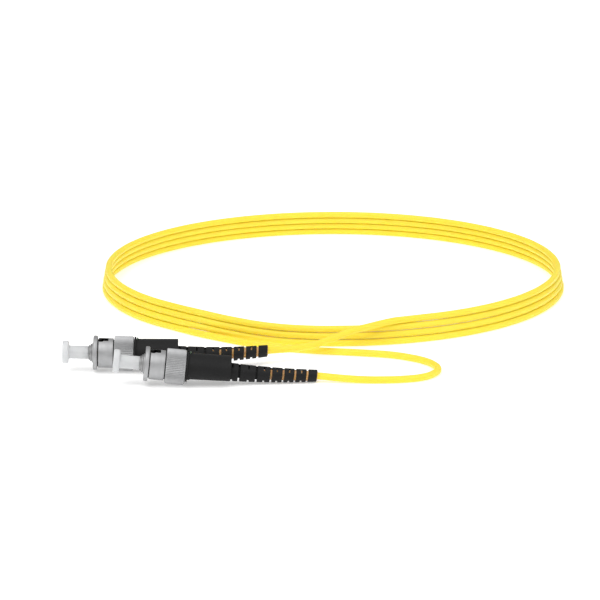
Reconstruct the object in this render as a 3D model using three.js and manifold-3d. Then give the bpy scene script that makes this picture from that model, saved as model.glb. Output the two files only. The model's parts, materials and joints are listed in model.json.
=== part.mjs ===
// A simplex fibre optic patch cord with a bayonet connector on each end, in millimetres, +Z up.
// The cord lies coiled on a flat surface, four turns deep, and both connectors lie in front of it.
import * as THREE from 'three';
import { mergeVertices } from 'three/addons/utils/BufferGeometryUtils.js';
import Module from 'manifold-3d';

const manifold = await Module();
manifold.setup();

// ---- Driving dimensions -------------------------------------------------------------------
const CORD_RADIUS = 0.95;
const BUFFER_RADIUS = 0.45;

// The coil: its turns stand on each other, and each lower turn is a little wider.
const COIL_RADIUS = 70;
const COIL_TURNS = 4;
const TURN_PITCH = 1.95;
const TURN_FLARE = 0.25;

// Stations along a connector's axis, counted forwards from the rear face of its coupling nut.
const RING_END = 5.5;
const FLANGE_START = 10.2;
const NUT_FRONT = 11.35;
const BODY_FRONT = 12.65;
const FERRULE_TIP = 17.4;
const CAP_DISC_START = 18.15;
const CAP_FRONT = 19.95;
const SPRING_SEAT = 9.2;
const BOOT_FRONT = -0.1;
const BOOT_STEP = -12.3;
const BOOT_END = -37.2;

// Radii of the connector's pieces.
const RING_RADIUS = 4.85;
const BARREL_RADIUS = 4.15;
const GROOVE_RADIUS = 3.95;
const FLANGE_RADIUS = 4.8;
const NUT_BORE = 3.55;
const LIP_BORE = 2.35;
const STEM_RADIUS = 2.1;
const NOSE_RADIUS = 2.8;
const FERRULE_RADIUS = 1.25;
const HOLDER_RADIUS = 1.55;
const CAP_RADIUS = 1.85;
const CAP_DISC_RADIUS = 3.2;
const CRIMP_RADIUS = 1.5;
const SLEEVE_RADIUS = 2.1;
const BOOT_RIM_RADIUS = 4.75;
const TAIL_START_RADIUS = 2.53;
const TAIL_END_RADIUS = 1.68;
const TAIL_BORE = 1.42;
const STRAIN_SLEEVE_RADIUS = 1.36;

// The boot's sleeve grows a little towards the step on top, and thins towards it underneath,
// where it ends level with the tail. Each pair is the front and the rear.
const BOOT_TOP = [4.2, 4.45];
const BOOT_UNDERSIDE = [3.1, 2.42];

// The tail is sawn from both sides in turn, at these distances behind the step. Each cut goes
// so far past the axis and leaves a rib beyond it. The cuts from the left are tilted, and a
// narrow window goes through the rib that each of them leaves.
const RIGHT_CUTS = [2.5, 7.5, 11.7, 15.2, 18.6, 22.1];
const LEFT_CUTS = [0.5, 5.2, 9.7, 13.4, 16.9, 20.4];
const CUT_WIDTH = 0.55;
const RIGHT_REACH = 1.46;
const LEFT_REACH = 0.6;
const LEFT_TILT = THREE.MathUtils.degToRad(37);
const WINDOW_ANGLE = THREE.MathUtils.degToRad(-35);
const WINDOW = [0.4, 1.35];

// In the tail's front part the cuts stop at a liner that holds the cord, so far behind the step.
const LINER_LENGTH = 9.1;
const LINER_RADIUS = 1.5;

// The spring that holds the nut back.
const SPRING_TURNS = 5;
const SPRING_RADIUS = 2.55;
const SPRING_WIRE = 0.22;
const SPRING_REAR = 2.6;
const SPRING_FRONT = 8.9;

const ROUND = 26;
const SMALL_ROUND = 18;
const COIL_ROUND = 72;

// Where the two connectors lie, measured from the middle of the coil. nut is the middle of the
// nut's rear face, lift and yaw are the axis's slope up to the cap and its turn towards the
// front, and bend is how far the soft tail's end has bent sideways (+Y) and upwards.
const CONNECTORS = {
  a: { nut: [-56.85, -95.8, 4.85], lift: 2.2, yaw: 1.8, bend: [5.0, 0.4] },
  b: { nut: [-41.8, -110.0, 4.82], lift: 6.5, yaw: 2.0, bend: [0.6, 1.1] },
};

// The cord's route where it isn't coiled, from each boot to the coil.
const LEAD_A = [
  [-19.43, -89.5, 3.83],
  [-17.2, -88.6, 3.75],
  [-14.8, -87.6, 3.65],
  [-12.5, -86.6, 3.6],
  [-10.3, -85.6, 3.55],
  [-8.4, -84.7, 3.6],
  [-6.5, -83.7, 3.8],
  [-4.6, -82.7, 4.1],
  [-2.8, -81.7, 4.5],
  [-1.0, -80.7, 4.9],
  [0.8, -79.6, 5.4],
  [2.6, -78.5, 5.8],
  [4.4, -77.3, 6.2],
  [6.3, -76.0, 6.5],
  [8.2, -74.6, 6.7],
  [9.7, -73.5, 6.8],
];
const LEAD_B = [
  [-32.6, -66.1, 0.95],
  [-29.5, -68.5, 0.95],
  [-24.6, -71.8, 0.95],
  [-19.4, -74.8, 0.95],
  [-14.2, -77.0, 0.95],
  [-8.6, -78.9, 0.95],
  [-2.5, -80.4, 0.95],
  [4.0, -81.6, 0.95],
  [10.0, -82.7, 0.95],
  [15.6, -84.3, 0.95],
  [20.2, -86.8, 0.95],
  [23.9, -90.2, 0.95],
  [26.4, -94.3, 0.95],
  [27.4, -99.0, 0.95],
  [26.0, -103.6, 0.95],
  [22.6, -106.8, 0.95],
  [17.8, -108.5, 0.95],
  [12.4, -109.0, 0.97],
  [7.0, -108.9, 1.05],
  [2.0, -108.6, 1.25],
  [-2.0, -108.3, 1.5],
  [-4.58, -108.1, 1.67],
];
const LEAD_A_STEPS = 14;
const LEAD_B_STEPS = 38;

// ---- Materials ----------------------------------------------------------------------------
function finish(color, roughness, metalness = 0) {
  return new THREE.MeshStandardMaterial({ color, roughness, metalness });
}

// ---- Geometry helpers ---------------------------------------------------------------------
function toSolid(geometry) {
  const plain = geometry.clone();
  plain.deleteAttribute('normal');
  plain.deleteAttribute('uv');
  const merged = mergeVertices(plain, 1e-5);
  const mesh = new manifold.Mesh({
    numProp: 3,
    vertProperties: new Float32Array(merged.attributes.position.array),
    triVerts: new Uint32Array(merged.index.array),
  });
  mesh.merge();
  return new manifold.Manifold(mesh);
}

function toGeometry(solid) {
  const mesh = solid.getMesh();
  const geometry = new THREE.BufferGeometry();
  geometry.setAttribute('position', new THREE.BufferAttribute(mesh.vertProperties, 3));
  geometry.setIndex(new THREE.BufferAttribute(mesh.triVerts, 1));
  geometry.computeVertexNormals();
  return geometry;
}

// Turns an outline of [station, radius] points about the connector's axis, which is +X.
// The outline runs anticlockwise with the station to the right and the radius upwards.
function turned(outline, segments = ROUND) {
  const points = outline.map(([station, radius]) => new THREE.Vector2(radius, station));
  const geometry = new THREE.LatheGeometry(points.reverse(), segments);
  geometry.rotateZ(-Math.PI / 2);
  return geometry;
}

// A ring's outline is closed by going back to its first point.
function ring(outline, segments = ROUND) {
  return turned([...outline, outline[0]], segments);
}

// A plain tube between two stations.
function sleeve(rear, front, inner, outer, segments = SMALL_ROUND) {
  return ring([[rear, inner], [front, inner], [front, outer], [rear, outer]], segments);
}

// A solid rod between two stations, with chamfered ends.
function rod(rear, front, radius, chamfer, segments = SMALL_ROUND) {
  const edge = radius - chamfer;
  return turned([
    [front, 0], [front, edge], [front - chamfer, radius],
    [rear + chamfer, radius], [rear, edge], [rear, 0],
  ], segments);
}

// A box about a point at a given station and height, turned about the axis by an angle.
function blockAt(station, height, size, angle = 0) {
  const geometry = new THREE.BoxGeometry(...size);
  geometry.translate(station, 0, height);
  geometry.rotateX(angle);
  return toSolid(geometry);
}

// ---- The connector's pieces ---------------------------------------------------------------
function dustCap() {
  const bore = 1.31;
  const tubeStart = BODY_FRONT + 0.07;
  const boreEnd = FERRULE_TIP + 0.25;
  return turned([
    [boreEnd, 0], [boreEnd, bore], [tubeStart, bore], [tubeStart, CAP_RADIUS],
    [CAP_DISC_START - 0.15, CAP_RADIUS], [CAP_DISC_START, 2.1],
    [CAP_DISC_START, CAP_DISC_RADIUS - 0.4], [CAP_DISC_START + 0.15, CAP_DISC_RADIUS - 0.1],
    [CAP_DISC_START + 0.45, CAP_DISC_RADIUS], [CAP_FRONT - 0.55, CAP_DISC_RADIUS],
    [CAP_FRONT - 0.2, CAP_DISC_RADIUS - 0.12], [CAP_FRONT, CAP_DISC_RADIUS - 0.5],
    [CAP_FRONT, 0],
  ].reverse(), SMALL_ROUND);
}

function ferrule() {
  const rear = 6;
  return rod(rear, FERRULE_TIP, FERRULE_RADIUS, 0.3);
}

// The metal stem that the ferrule is pressed into, with a fine bore for the buffered fibre.
function ferruleHolder() {
  const rear = 3.1;
  const front = BODY_FRONT - 0.25;
  const seat = 5.9;
  return ring([
    [rear, BUFFER_RADIUS + 0.05], [seat, BUFFER_RADIUS + 0.05], [seat, FERRULE_RADIUS + 0.04],
    [front, FERRULE_RADIUS + 0.04], [front, HOLDER_RADIUS], [rear, HOLDER_RADIUS],
  ], SMALL_ROUND);
}

// The body runs from the domed nose, past the spring's shoulder, to the barrel for crimping.
function connectorBody() {
  const bore = HOLDER_RADIUS + 0.07;
  const boreEnd = 3;
  const fibreBore = 0.7;
  const clipGroove = [0.03, 0.57];
  const crimpStart = -3.9;
  const crimpEnd = -8.6;
  const shoulder = 3.3;
  const shell = toSolid(ring([
    [crimpEnd, fibreBore], [boreEnd, fibreBore], [boreEnd, bore], [BODY_FRONT, bore],
    [BODY_FRONT, 2.2], [BODY_FRONT - 0.2, 2.55], [BODY_FRONT - 0.55, NOSE_RADIUS],
    [SPRING_SEAT + 0.8, NOSE_RADIUS], [SPRING_SEAT + 0.8, shoulder], [SPRING_SEAT, shoulder],
    [SPRING_SEAT, STEM_RADIUS], [clipGroove[1], STEM_RADIUS], [clipGroove[1], STEM_RADIUS - 0.15],
    [clipGroove[0], STEM_RADIUS - 0.15], [clipGroove[0], STEM_RADIUS], [crimpStart, STEM_RADIUS],
    [crimpStart, CRIMP_RADIUS], [crimpEnd, CRIMP_RADIUS],
  ], SMALL_ROUND));
  const key = blockAt(SPRING_SEAT + 1.3, 2.95, [1.6, 1.2, 0.7]);
  return toGeometry(shell.add(key));
}

// One bayonet slot: a way in at the mouth, a groove inside the wall that winds back from it,
// and the window that the groove ends in, where the socket's stud comes to rest.
function bayonetSlot(turn) {
  const width = 1.7;
  const depth = 0.45;
  const wall = (NUT_BORE + BARREL_RADIUS) / 2;
  const rampSteps = 6;
  const rampAngle = THREE.MathUtils.degToRad(62);
  const mouthAngle = THREE.MathUtils.degToRad(11);
  const rampEnd = 8.05;
  const entryStart = 9.2;
  const entryLength = NUT_FRONT + 0.4 - entryStart;
  const middle = NUT_BORE + depth - 0.6;
  const entry = blockAt(entryStart + entryLength / 2, middle, [entryLength, width, 1.2], turn + rampAngle);
  const window = blockAt((8 + FLANGE_START) / 2 - 0.1, wall + 0.4, [FLANGE_START - 8.2, width, 2], turn);
  const rear = blockAt(8.05, wall + 0.4, [width, 1.9, 2], turn);
  const mouth = blockAt(FLANGE_START - 0.85, wall + 0.4, [1.4, width, 2], turn - mouthAngle);
  let slot = entry.add(window).add(rear).add(mouth);
  for (let i = 0; i <= rampSteps; i++) {
    const share = i / rampSteps;
    const station = THREE.MathUtils.lerp(rampEnd, entryStart + 0.6, share);
    slot = slot.add(blockAt(station, middle, [width, 1.2, 1.2], turn + rampAngle * share));
  }
  return slot;
}

// The coupling nut: a gripping ring, the slotted barrel, and the round flange at its mouth.
function couplingNut() {
  const lip = [0.6, 1.8];
  const recess = 3.6;
  const shell = toSolid(ring([
    [0, recess], [lip[0], recess], [lip[0], LIP_BORE], [lip[1], LIP_BORE], [lip[1], NUT_BORE],
    [NUT_FRONT - 0.2, NUT_BORE], [NUT_FRONT, NUT_BORE + 0.2], [NUT_FRONT, FLANGE_RADIUS - 0.3],
    [NUT_FRONT - 0.3, FLANGE_RADIUS], [FLANGE_START + 0.25, FLANGE_RADIUS],
    [FLANGE_START, FLANGE_RADIUS - 0.2], [FLANGE_START, GROOVE_RADIUS],
    [FLANGE_START - 0.25, GROOVE_RADIUS], [FLANGE_START - 0.25, BARREL_RADIUS],
    [RING_END + 0.3, BARREL_RADIUS], [RING_END + 0.3, GROOVE_RADIUS], [RING_END, GROOVE_RADIUS],
    [RING_END, RING_RADIUS - 0.15], [RING_END - 0.15, RING_RADIUS], [0.4, RING_RADIUS],
    [0.1, RING_RADIUS - 0.15], [0, RING_RADIUS - 0.4],
  ]));
  const slots = bayonetSlot(0).add(bayonetSlot(Math.PI));
  return toGeometry(shell.subtract(slots));
}

class Helix extends THREE.Curve {
  getPoint(t) {
    const angle = t * SPRING_TURNS * 2 * Math.PI;
    return new THREE.Vector3(
      THREE.MathUtils.lerp(SPRING_REAR, SPRING_FRONT, t),
      SPRING_RADIUS * Math.sin(angle),
      SPRING_RADIUS * Math.cos(angle),
    );
  }
}

function circleShape(radius, sides) {
  const points = [];
  for (let i = 0; i < sides; i++) {
    const angle = (i / sides) * 2 * Math.PI;
    points.push(new THREE.Vector2(radius * Math.cos(angle), radius * Math.sin(angle)));
  }
  return new THREE.Shape(points);
}

function nutSpring() {
  const sides = 5;
  const stepsPerTurn = 10;
  const steps = SPRING_TURNS * stepsPerTurn;
  return new THREE.ExtrudeGeometry(circleShape(SPRING_WIRE, sides), { steps, extrudePath: new Helix() });
}

function springWasher() {
  return sleeve(1.85, 2.25, 2.2, 3.4);
}

// The clip holds the nut on: a split ring in the body's groove, with a small upright ear.
function retainingClip() {
  const plate = toSolid(sleeve(0.1, 0.5, STEM_RADIUS - 0.1, 3.3));
  const split = blockAt(0.3, -2.7, [1, 1.6, 2.2]);
  const arm = blockAt(-0.35, 3.08, [1.1, 0.9, 0.35]);
  const ear = blockAt(-0.95, 3.82, [0.4, 0.7, 1.6]);
  return toGeometry(plate.subtract(split).add(arm).add(ear));
}

// The yarn is folded back over the crimp barrel, and the sleeve is crimped down on it.
function aramidYarn() {
  return sleeve(-8.5, -4.2, CRIMP_RADIUS + 0.05, CRIMP_RADIUS + 0.2);
}

function crimpSleeve() {
  const inner = CRIMP_RADIUS + 0.25;
  const neckBore = CORD_RADIUS + 0.05;
  return ring([
    [-12.1, neckBore], [-9.2, neckBore], [-8.9, inner], [-4.0, inner], [-4.0, SLEEVE_RADIUS],
    [-9.0, SLEEVE_RADIUS], [-9.6, 1.5], [-12.1, 1.5],
  ], SMALL_ROUND);
}

function bufferedFibre() {
  return rod(-10.5, 5.8, BUFFER_RADIUS, 0.05, 12);
}

function tailRadius(distance) {
  return THREE.MathUtils.lerp(TAIL_START_RADIUS, TAIL_END_RADIUS, distance / (BOOT_STEP - BOOT_END));
}

// Bends everything behind the boot's step, more and more towards its end.
function bendTail(geometry, [sideways, upwards]) {
  const position = geometry.attributes.position;
  for (let i = 0; i < position.count; i++) {
    const share = Math.max(0, (BOOT_STEP - position.getX(i)) / (BOOT_STEP - BOOT_END));
    position.setY(i, position.getY(i) - sideways * share ** 2);
    position.setZ(i, position.getZ(i) + upwards * share ** 2);
  }
  geometry.computeVertexNormals();
  return geometry;
}

// Stations along the tail, from its end to the step, close enough for it to bend smoothly.
function tailStations() {
  const sections = 7;
  const stations = [];
  for (let i = 0; i <= sections; i++) {
    stations.push(THREE.MathUtils.lerp(BOOT_END, BOOT_STEP, i / sections));
  }
  return stations;
}

// A saw cut from one side, which is 1 or -1, so far past the axis and tilted about it.
function sawCut(distance, side, reach, tilt, bend) {
  const width = 5;
  const cut = new THREE.BoxGeometry(CUT_WIDTH, width + reach, 2 * width);
  cut.translate(BOOT_STEP - distance, side * (width - reach) / 2, 0);
  cut.rotateX(tilt);
  return toSolid(bendTail(cut, bend));
}

// A narrow window through one side of the tail's wall.
function ribWindow(distance, bend) {
  const opening = new THREE.BoxGeometry(...WINDOW, 2.4);
  opening.translate(BOOT_STEP - distance, 0, 2.2);
  opening.rotateX(WINDOW_ANGLE);
  return toSolid(bendTail(opening, bend));
}

function cordLiner(bend) {
  const bore = CORD_RADIUS + 0.05;
  const [front, rear] = [BOOT_STEP - 0.05, BOOT_STEP - LINER_LENGTH];
  const stations = [rear, ...tailStations().filter((station) => station > rear && station < front), front];
  const inside = stations.map((station) => [station, bore]);
  const skin = stations.map((station) => [station, LINER_RADIUS]).reverse();
  return toSolid(bendTail(ring([...inside, ...skin], SMALL_ROUND), bend));
}

// Lifts the sleeve's underside, which is the lower half of its outer skin.
function liftUnderside(geometry, sleeveFront) {
  const position = geometry.attributes.position;
  for (let i = 0; i < position.count; i++) {
    const [x, y, z] = [position.getX(i), position.getY(i), position.getZ(i)];
    const onSleeve = x < sleeveFront + 0.01 && x > BOOT_STEP - 0.01;
    const onSkin = Math.hypot(y, z) > BOOT_TOP[0] - 0.1 && Math.hypot(y, z) < BOOT_RIM_RADIUS - 0.1;
    if (onSleeve && onSkin && z < 0) {
      const share = (x - sleeveFront) / (BOOT_STEP - sleeveFront);
      const depth = THREE.MathUtils.lerp(...BOOT_UNDERSIDE, share);
      position.setZ(i, z * depth / THREE.MathUtils.lerp(...BOOT_TOP, share));
    }
  }
  return geometry;
}

// The boot: a sleeve with a rim, and a long slotted tail that bends, with the liner inside it.
function boot(bend) {
  const bore = 2.2;
  const neckBore = 1.7;
  const sleeveFront = BOOT_FRONT - 0.45;
  const stations = tailStations();
  const tailBore = stations.map((station) => [station, TAIL_BORE]);
  const tailSkin = stations.slice(1).reverse().map((station) => [station, tailRadius(BOOT_STEP - station)]);
  const shell = ring([
    ...tailBore, [BOOT_STEP, neckBore], [-9.75, neckBore],
    [-9.75, bore], [-1.3, bore], [-1.3, 3.35], [BOOT_FRONT, 3.35],
    [BOOT_FRONT, BOOT_RIM_RADIUS], [sleeveFront, BOOT_RIM_RADIUS],
    [sleeveFront, BOOT_TOP[0]], [BOOT_STEP + 0.15, BOOT_TOP[1]],
    [BOOT_STEP, BOOT_TOP[1] - 0.15], ...tailSkin,
    [BOOT_END + 0.1, TAIL_END_RADIUS], [BOOT_END, TAIL_END_RADIUS - 0.1],
  ], SMALL_ROUND);
  const clipNotch = blockAt(-0.7, 3.9, [1.4, 1.4, 2.6]);
  let solid = toSolid(bendTail(liftUnderside(shell, sleeveFront), bend)).subtract(clipNotch);
  for (const distance of RIGHT_CUTS) {
    solid = solid.subtract(sawCut(distance, 1, RIGHT_REACH, 0, bend));
  }
  for (const distance of LEFT_CUTS) {
    solid = solid.subtract(sawCut(distance, -1, LEFT_REACH, LEFT_TILT, bend));
    solid = solid.subtract(ribWindow(distance, bend));
  }
  return toGeometry(solid.add(cordLiner(bend)));
}

// The coloured sleeve round the cord behind the liner, which shows through the boot's cuts.
function strainSleeve(bend) {
  const front = BOOT_STEP - LINER_LENGTH - 0.1;
  const rear = BOOT_END - 0.15;
  const bore = CORD_RADIUS + 0.05;
  const stations = [rear, ...tailStations().slice(1).filter((station) => station < front), front];
  const inside = stations.map((station) => [station, bore]);
  const skin = stations.map((station) => [station, STRAIN_SLEEVE_RADIUS]).reverse();
  return bendTail(ring([...inside, ...skin], SMALL_ROUND), bend);
}

// The jacketed end of the cord inside the boot, gripped by the crimp sleeve's neck.
function cordEnd(bend) {
  const front = -10.7;
  const skin = tailStations().map((station) => [station, CORD_RADIUS]);
  const outline = [[BOOT_END, 0], ...skin, [front, CORD_RADIUS], [front, 0]];
  return bendTail(turned(outline.reverse(), 12), bend);
}

const PIECES = {
  dust_cap: [dustCap, finish(0xe6eaec, 0.35)],
  ferrule: [ferrule, finish(0xf4f2ec, 0.2)],
  ferrule_holder: [ferruleHolder, finish(0xc9b37a, 0.35, 0.9)],
  connector_body: [connectorBody, finish(0xb9bbbd, 0.35, 0.9)],
  coupling_nut: [couplingNut, finish(0xc4c6c8, 0.32, 0.9)],
  nut_spring: [nutSpring, finish(0xd0d2d4, 0.3, 1)],
  spring_washer: [springWasher, finish(0xbfc1c3, 0.35, 0.9)],
  retaining_clip: [retainingClip, finish(0xbfc9bf, 0.4, 0.6)],
  buffered_fiber: [bufferedFibre, finish(0xf7f4ea, 0.5)],
  aramid_yarn: [aramidYarn, finish(0xe2c552, 0.8)],
  crimp_sleeve: [crimpSleeve, finish(0xb4b2aa, 0.4, 0.9)],
  boot: [boot, finish(0x2a2a2b, 0.55)],
  strain_sleeve: [strainSleeve, finish(0xc07a3c, 0.5)],
  cord_end: [cordEnd, finish(0xf2a53c, 0.5)],
};

// Builds one connector about its own axis, then turns it cap first and lays it in its place.
function connector(suffix, { nut, lift, yaw, bend }) {
  const group = new THREE.Group();
  for (const [name, [build, material]] of Object.entries(PIECES)) {
    const mesh = new THREE.Mesh(build(bend), material);
    mesh.name = `${name}_${suffix}`;
    group.add(mesh);
  }
  group.rotation.set(0, -THREE.MathUtils.degToRad(lift), Math.PI + THREE.MathUtils.degToRad(yaw), 'ZYX');
  group.position.set(...nut);
  return group;
}

// ---- The cord -----------------------------------------------------------------------------
const YELLOW = finish(0xf6e23c, 0.45);

function cordLead(name, route, steps) {
  const path = new THREE.CatmullRomCurve3(route.map((point) => new THREE.Vector3(...point)));
  const geometry = new THREE.ExtrudeGeometry(circleShape(CORD_RADIUS, 8), { steps, extrudePath: path });
  const mesh = new THREE.Mesh(geometry, YELLOW);
  mesh.name = name;
  return mesh;
}

// The space that the stacked turns fill, as one ring standing on the surface.
function cordCoil() {
  const top = 2 * CORD_RADIUS + (COIL_TURNS - 1) * TURN_PITCH;
  const flare = (COIL_TURNS - 1) * TURN_FLARE;
  const inner = COIL_RADIUS - CORD_RADIUS;
  const outer = COIL_RADIUS + CORD_RADIUS;
  const outline = [
    [inner, 0], [outer + flare, 0], [outer + flare, CORD_RADIUS], [outer, top - CORD_RADIUS],
    [outer, top], [inner, top], [inner, 0],
  ].map(([radius, height]) => new THREE.Vector2(radius, height));
  const geometry = new THREE.LatheGeometry(outline, COIL_ROUND);
  geometry.rotateX(Math.PI / 2);
  const mesh = new THREE.Mesh(geometry, YELLOW);
  mesh.name = 'cord_coil';
  return mesh;
}

// ---- Assembly: the origin is on the surface, under the middle of the two connectors ---------
const connectors = new THREE.Group();
for (const [suffix, place] of Object.entries(CONNECTORS)) {
  connectors.add(connector(suffix, place));
}

const patchCord = new THREE.Group();
patchCord.add(connectors);
patchCord.add(cordLead('cord_lead_a', LEAD_A, LEAD_A_STEPS));
patchCord.add(cordCoil());
patchCord.add(cordLead('cord_lead_b', LEAD_B, LEAD_B_STEPS));

const footprint = new THREE.Box3().setFromObject(connectors, true);
const middle = footprint.getCenter(new THREE.Vector3());
patchCord.position.set(-middle.x, -middle.y, 0);

export default patchCord;
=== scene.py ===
# The looks of a simplex fibre optic patch cord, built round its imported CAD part.
# Lengths are in metres, except that a connector's pieces are drawn in millimetres along their
# own axis, +X towards the dust cap, and connector_place() turns them into the row frame.
import json
import math
import random

import bmesh
import bpy
from mathutils import Matrix, Vector


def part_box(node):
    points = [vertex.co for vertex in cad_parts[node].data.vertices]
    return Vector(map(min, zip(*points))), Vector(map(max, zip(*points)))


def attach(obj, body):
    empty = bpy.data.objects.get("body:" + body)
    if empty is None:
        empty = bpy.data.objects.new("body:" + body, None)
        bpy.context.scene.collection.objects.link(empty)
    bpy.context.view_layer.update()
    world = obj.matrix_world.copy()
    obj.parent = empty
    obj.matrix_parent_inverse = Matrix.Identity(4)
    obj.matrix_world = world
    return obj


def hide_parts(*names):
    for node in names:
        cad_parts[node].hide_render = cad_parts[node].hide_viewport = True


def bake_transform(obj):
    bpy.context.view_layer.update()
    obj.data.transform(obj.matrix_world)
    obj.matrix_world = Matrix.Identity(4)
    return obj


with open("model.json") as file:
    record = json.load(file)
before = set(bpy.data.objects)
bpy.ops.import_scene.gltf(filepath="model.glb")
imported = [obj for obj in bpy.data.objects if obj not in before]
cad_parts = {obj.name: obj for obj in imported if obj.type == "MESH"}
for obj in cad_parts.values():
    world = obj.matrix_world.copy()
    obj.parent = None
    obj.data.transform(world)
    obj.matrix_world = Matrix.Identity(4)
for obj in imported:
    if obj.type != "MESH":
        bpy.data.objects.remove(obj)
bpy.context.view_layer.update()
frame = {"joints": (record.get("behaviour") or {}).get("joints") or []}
joints = {joint["name"]: joint for joint in frame["joints"]}
random.seed(7)

MM = 0.001
SIDES = ("a", "b")

# ---- Camera ---------------------------------------------------------------------------------
coil_low, coil_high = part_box("cord_coil")
COIL_MIDDLE = Vector(((coil_low.x + coil_high.x) / 2, (coil_low.y + coil_high.y) / 2, 0))
CAMERA_FROM_COIL = Vector((-0.01034, -0.81923, 0.20792))
CAMERA_TILT = math.radians(14.548)
CAMERA_ROLL = math.radians(-0.2)
CAMERA_LENS = 161.1


def add_object(name, data):
    made = bpy.data.objects.new(name, data)
    bpy.context.scene.collection.objects.link(made)
    return made


def add_camera():
    data = bpy.data.cameras.new("camera")
    data.lens = CAMERA_LENS
    camera = add_object("camera", data)
    camera.location = COIL_MIDDLE + CAMERA_FROM_COIL
    tilted = Matrix.Rotation(math.pi / 2 - CAMERA_TILT, 3, "X")
    camera.rotation_euler = (tilted @ Matrix.Rotation(CAMERA_ROLL, 3, "Z")).to_euler()
    bpy.context.scene.camera = camera


# ---- The connectors' places -----------------------------------------------------------------
# Stations and radii in millimetres, counted forwards from the rear face of the coupling nut.
CORD_RADIUS = 0.95
BUFFER_RADIUS = 0.45
NUT_LIP = (0.6, 1.8)
RING_END = 5.5
FLANGE_START = 10.15
NUT_FRONT = 11.35
BODY_FRONT = 12.65
FERRULE_TIP = 17.4
CAP_DISC_START = 18.15
CAP_FRONT = 19.95
SPRING_SEAT = 9.2
SHOULDER_FRONT = SPRING_SEAT + 0.8
BOOT_FRONT = -0.1
BOOT_STEP = -12.3
BOOT_END = -37.2
CORD_END_REAR = -36.6

RING_RADIUS = 4.85
BARREL_RADIUS = 4.15
GROOVE_RADIUS = 3.78
FLANGE_RADIUS = 4.8
NUT_BORE = 3.55
LIP_BORE = 2.35
STEM_RADIUS = 2.1
NOSE_RADIUS = 2.8
FERRULE_RADIUS = 1.25
HOLDER_RADIUS = 1.55
CAP_RADIUS = 1.85
CAP_DISC_RADIUS = 3.2
CRIMP_RADIUS = 1.5
CRIMP_SLEEVE_RADIUS = 2.1
STRAIN_SLEEVE_RADIUS = 1.39
BOOT_TOP = (4.2, 4.45)
BOOT_UNDERSIDE = (3.1, 2.42)
BOOT_RIM_RADIUS = 4.75
BOOT_RIM_DROP = 0.8
TAIL_START_RADIUS = 2.53
TAIL_END_RADIUS = 1.68
TAIL_BORE = 1.42

# How far the end of each boot's soft tail has moved: sideways, upwards and forwards.
TAIL_BENDS = {"a": (5.0, 0.4, -0.25), "b": (0.6, 1.1, 1.05)}


def connector_place(side):
    """Takes millimetres along a connector's own axis to its place in the row frame."""
    joint = joints[f"nut_turn_{side}"]
    forward = Vector(joint["axis"]).normalized()
    sideways = Vector((0, 0, 1)).cross(forward).normalized()
    upward = forward.cross(sideways)
    turn = Matrix((forward, sideways, upward)).transposed().to_4x4()
    return Matrix.Translation(joint["pos_m"]) @ turn @ Matrix.Scale(MM, 4)


def bent(point, bend):
    """Where a point of the straight tail goes when the tail bends."""
    share = max(0.0, (BOOT_STEP - point[0]) / (BOOT_STEP - BOOT_END))
    sideways, upwards, forwards = bend
    x, y, z = point
    return Vector((x + forwards * share, y - sideways * share**2, z + upwards * share**2))


def tail_middle(side, station):
    return connector_place(side) @ bent((station, 0, 0), TAIL_BENDS[side])


# ---- The cord -------------------------------------------------------------------------------
CORD_DIAMETER = 0.002
COIL_RADIUS = 0.0703
COIL_TURNS = 4
TURN_PITCH = 0.00198
TURN_FLARE = 0.00035
TURN_WOBBLE = 0.00006
WOBBLE_RATES = (2.3, 0.37)

# Angles round the coil are counted from its front, anticlockwise as seen from above. Between
# the two DROP angles every turn steps down to the next level.
JOIN_ANGLE = 19.5
DROP_START = 318
DROP_END = 352
COIL_STEP = 9

# The route where the cord isn't coiled, measured from the middle of the coil.
LEAD_A = [
    (-0.01943, -0.0895, 0.00383),
    (-0.0148, -0.0876, 0.00365),
    (-0.0103, -0.0856, 0.00355),
    (-0.0065, -0.0837, 0.0038),
    (-0.0028, -0.0817, 0.0045),
    (0.0008, -0.0796, 0.0054),
    (0.0044, -0.0773, 0.0062),
    (0.0082, -0.0746, 0.0064),
    (0.0119, -0.0719, 0.0066),
    (0.0142, -0.07045, 0.00675),
    (0.0167, -0.06915, 0.00692),
    (0.0195, -0.06789, 0.00694),
]
LEAD_B = [
    (-0.0457, -0.0549, 0.0010),
    (-0.0396, -0.0607, 0.0010),
    (-0.0326, -0.0661, 0.0010),
    (-0.0246, -0.0718, 0.0010),
    (-0.0194, -0.0748, 0.0010),
    (-0.0142, -0.0770, 0.0010),
    (-0.0086, -0.0787, 0.0010),
    (-0.0025, -0.0801, 0.0010),
    (0.0040, -0.0814, 0.0010),
    (0.0100, -0.0827, 0.0010),
    (0.0156, -0.0843, 0.0010),
    (0.0202, -0.0868, 0.0010),
    (0.0243, -0.0902, 0.0010),
    (0.0270, -0.0943, 0.0010),
    (0.0281, -0.0990, 0.0010),
    (0.0267, -0.1036, 0.0010),
    (0.0231, -0.1073, 0.0010),
    (0.0178, -0.1091, 0.0010),
    (0.0124, -0.1096, 0.0010),
    (0.0070, -0.1095, 0.00105),
    (0.0020, -0.1090, 0.00125),
    (-0.0020, -0.1085, 0.0015),
    (-0.00458, -0.1081, 0.00167),
]


def smooth_step(value):
    value = min(max(value, 0.0), 1.0)
    return value * value * (3 - 2 * value)


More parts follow.
